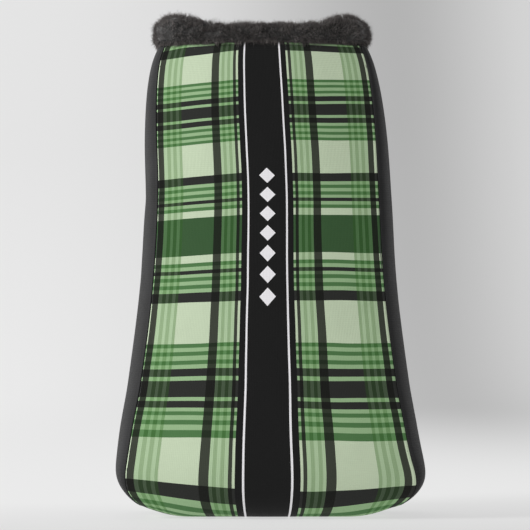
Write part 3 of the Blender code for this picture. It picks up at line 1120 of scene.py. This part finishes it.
def make_panels():
    """The padded outside: the printed band and the two side panels."""
    print_finish, black_finish = printed_cloth(), black_cloth()
    band = band_panel(print_finish)
    left = side_panel(-1, "left_side_skin", black_finish)
    right = side_panel(1, "right_side_skin", black_finish)
    panels = [band, left, right]
    puff_up(panels)
    for piece in panels:
        refine(piece)
    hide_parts("printed_band")
    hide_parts("left_side_panel")
    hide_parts("right_side_panel")


def make_fur(chance):
    """The fur cuff: its backing, a dense undercoat, and finer and longer wisps."""
    backing = pile_cloth("fur_backing", linear(32, 31, 30), linear(70, 67, 65), scale=260)
    fibre = fibres("fur_fibres", linear(50, 48, 47), linear(126, 119, 116))
    roll = cuff_roll(backing)
    undercoat = cuff_fibres("fur_cuff_undercoat", UNDERCOAT, fibre, chance)
    wisps = cuff_fibres("fur_cuff_wisps", WISPS, fibre, chance)
    for piece in (roll, undercoat, wisps):
        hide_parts("fur_cuff")


def make_fleece(chance):
    """The fleece lining: three faces, and curls where one can look in."""
    backing = pile_cloth("fleece_backing", linear(32, 31, 32), linear(76, 73, 75), scale=220)
    fibre = fibres("fleece_fibres", linear(42, 40, 41), linear(116, 111, 113))
    half_rows, _ = evenly(FLEECE_ROWS, profile)
    whole = [-a for a in reversed(half_rows[1:])] + half_rows
    columns = [-1 + 2 * k / FLEECE_COLUMNS for k in range(FLEECE_COLUMNS + 1)]
    side_rows = [a for a in half_rows if a >= 1]
    on_left, on_right = functools.partial(on_side, -1), functools.partial(on_side, 1)
    band = lining("band_fleece", columns, whole, on_band, backing)
    left = lining("left_fleece", columns, side_rows, on_left, backing)
    right = lining("right_fleece", columns, side_rows, on_right, backing)
    curls = lining_fibres("fleece_curls", CURLS, fibre, chance)
    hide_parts("band_lining")
    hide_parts("left_side_lining")
    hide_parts("right_side_lining")


def finish_hidden_parts():
    """Better materials for the CAD parts that keep their shape."""
    seams = ["left_seam_thread", "right_seam_thread", "left_lining_thread", "right_lining_thread"]
    carried = {
        twisted_thread: [*seams, "cuff_thread"],
        open_foam: ["band_foam", "left_side_foam", "right_side_foam"],
        ribbed_elastic: ["mouth_elastic"],
    }
    for recipe, names in carried.items():
        finish = recipe()
        for name in names:
            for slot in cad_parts[name].material_slots:
                slot.material = finish


# Blender's vector noise starts from the clock unless it is given a seed
noise.seed_set(SEED)
chance = np.random.default_rng(SEED)
make_panels()
make_fur(chance)
make_fleece(chance)
finish_hidden_parts()

# -------- studio

# FIELD is the width of the view at the cover, and CAMERA_AIM its centre's x and height
CAMERA_DISTANCE = 2.0
FIELD = 0.2974
CAMERA_AIM = (-0.002, 0.140)
SENSOR = 36.0
LIGHT_AIM = Vector((0, 0, 0.14))
WORLD_STRENGTH = 0.22

FLOOR_FLAT = 1.4
FLOOR_REACH = 4.0
FLOOR_RISE = 0.13
FLOOR_POWER = 3
FLOOR_RINGS = 40
FLOOR_SPOKES = 72

PAPER_ALBEDO = 0.25
PAPER_GLOW = 0.64
# The glow of the paper behind the cover, whose dip to the right is a painted shadow of the cover, as (share
# of the way from left to right, level), how far it reaches to each side, and the places behind the cover
# between which it sets in
SHADE = [(0.0, 0.66), (0.40, 0.64), (0.70, 0.20), (0.88, 0.54)]
SHADE_REACH = 0.42
SHADE_FROM = (0.2, 1.6)
# Going forward between these places, the glow in front of the cover falls to this share: painted shade on the
# floor there, which also sends less light onto the cover's front
DIM_FROM = (-0.7, 0.1)
DIM_TO = 0.48


def studio_paper():
    """Paper that glows. Behind the cover, towards the right, it glows less: a painted shadow of the cover. It
    glows less in front of the cover too, a painted shade, so that the light falls from one side."""
    grey = (PAPER_ALBEDO, PAPER_ALBEDO, PAPER_ALBEDO, 1.0)
    made, tree, shader = start_material("studio_paper", 0.95, specular=0.0, base_color=grey)
    where = add(tree, "SeparateXYZ", {0: add(tree, "TexCoord").outputs["Object"]}).outputs
    across = add(tree, "MapRange", {0: where[0], 1: -SHADE_REACH, 2: SHADE_REACH}).outputs[0]
    # The shade ramp paints the cover's shadow onto the paper behind it
    shade = ramp(tree, across, [(at, (level, level, level, 1.0)) for at, level in SHADE], "B_SPLINE")
    near, far = SHADE_FROM
    behind = add(tree, "MapRange", {0: where[1], 1: near, 2: far}, interpolation_type="SMOOTHSTEP")
    plain = (PAPER_GLOW, PAPER_GLOW, PAPER_GLOW, 1.0)
    glow = mix(tree, behind.outputs[0], plain, shade.outputs["Color"])
    feed(shader, "Emission Color", glow)
    # Painted shade: the glow dims in front of the cover
    front, back = DIM_FROM
    strength = add(tree, "MapRange", {0: where[1], 1: front, 2: back, 3: DIM_TO, 4: 1.0}).outputs[0]
    feed(shader, "Emission Strength", strength)
    return made


def studio_floor():
    """A pale floor that curves up into a wall all round."""
    bm = bmesh.new()
    radii = [FLOOR_REACH * k / FLOOR_RINGS for k in range(FLOOR_RINGS + 1)]
    outline = [Vector((r, 0, FLOOR_RISE * max(0.0, r - FLOOR_FLAT) ** FLOOR_POWER)) for r in radii]
    path = [bm.verts.new(point) for point in outline]
    edges = [bm.edges.new(pair) for pair in zip(path, path[1:])]
    whole_turn = math.radians(360)
    bmesh.ops.spin(
        bm, geom=path + edges, axis=(0, 0, 1), cent=(0, 0, 0), angle=whole_turn, steps=FLOOR_SPOKES
    )
    bmesh.ops.remove_doubles(bm, verts=bm.verts, dist=WELD)
    bmesh.ops.recalc_face_normals(bm, faces=bm.faces)
    mesh = bpy.data.meshes.new("studio_floor")
    bm.to_mesh(mesh)
    bm.free()
    mesh.shade_smooth()
    mesh.materials.append(studio_paper())
    put_in_scene(bpy.data.objects.new("studio_floor", mesh))


def soft_light(name, place, size, power):
    """A round light at a place, turned to the middle of the cover."""
    lamp = bpy.data.lights.new(name, "AREA")
    lamp.shape = "DISK"
    lamp.size = size
    lamp.energy = power
    made = put_in_scene(bpy.data.objects.new(name, lamp))
    made.location = place
    made.rotation_euler = (LIGHT_AIM - Vector(place)).to_track_quat("-Z", "Y").to_euler()


def studio_world():
    world = bpy.data.worlds.new("studio")
    world.use_nodes = True
    background = world.node_tree.nodes["Background"]
    background.inputs["Color"].default_value = (1.0, 1.0, 1.0, 1.0)
    background.inputs["Strength"].default_value = WORLD_STRENGTH
    bpy.context.scene.world = world
    bpy.context.scene.view_settings.view_transform = "Standard"


def front_camera():
    """A camera with a long lens, straight in front of the cover."""
    lens = bpy.data.cameras.new("camera")
    lens.sensor_width = SENSOR
    lens.lens = SENSOR * CAMERA_DISTANCE / FIELD
    camera = put_in_scene(bpy.data.objects.new("camera", lens))
    camera.location = (CAMERA_AIM[0], -CAMERA_DISTANCE, CAMERA_AIM[1])
    camera.rotation_euler = (math.radians(90), 0, 0)
    bpy.context.scene.camera = camera


studio_floor()
soft_light("key_light", place=(-2.0, -0.9, 1.0), size=1.0, power=50)
soft_light("back_light", place=(-0.5, 1.9, 1.4), size=1.4, power=7)
studio_world()
front_camera()
